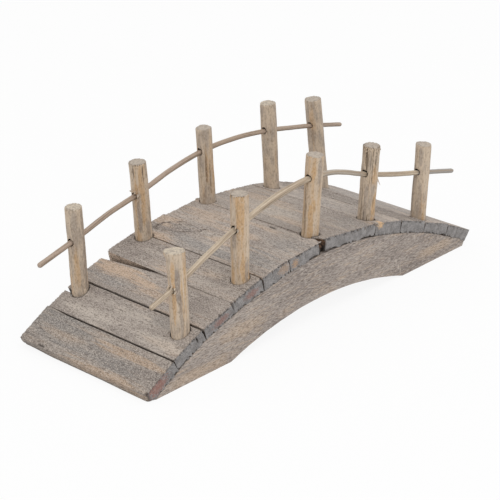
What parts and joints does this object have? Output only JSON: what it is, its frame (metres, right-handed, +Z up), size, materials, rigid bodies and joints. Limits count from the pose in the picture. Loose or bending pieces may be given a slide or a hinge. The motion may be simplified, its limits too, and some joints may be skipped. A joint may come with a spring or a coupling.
{
  "type": "miniature wooden moon bridge",
  "caption": "Small arched footbridge of weathered wood: two sawn stringers, a curved board deck, dowel posts and bent reed handrails, for a tabletop or planter scene.",
  "frame": {"origin": "on the ground under the middle of the deck", "axes": "+X along the bridge, +Y across it towards the back, +Z up"},
  "size_m": [0.2999, 0.1066, 0.1028],
  "materials": {
    "deck_wood": "weathered grey-brown stain, dry and matte",
    "stringer_wood": "weathered grey-brown stain, dry and matte",
    "post_wood": "weathered bare dowel with grey streaks, matte",
    "rail_reed": "bare reed, faintly satin"
  },
  "bodies": {
    "root": {"front_stringer": "stringer_wood", "back_stringer": "stringer_wood", "board_1": "deck_wood", "board_2": "deck_wood", "board_3": "deck_wood", "board_4": "deck_wood", "board_5": "deck_wood", "board_6": "deck_wood", "board_7": "deck_wood", "board_8": "deck_wood", "board_9": "deck_wood", "board_10": "deck_wood", "board_11": "deck_wood", "front_post_1": "post_wood", "front_post_2": "post_wood", "front_post_3": "post_wood", "front_post_4": "post_wood", "front_post_5": "post_wood", "back_post_1": "post_wood", "back_post_2": "post_wood", "back_post_3": "post_wood", "back_post_4": "post_wood", "back_post_5": "post_wood", "front_rail": "rail_reed", "back_rail": "rail_reed"}
  },
  "joints": []
}
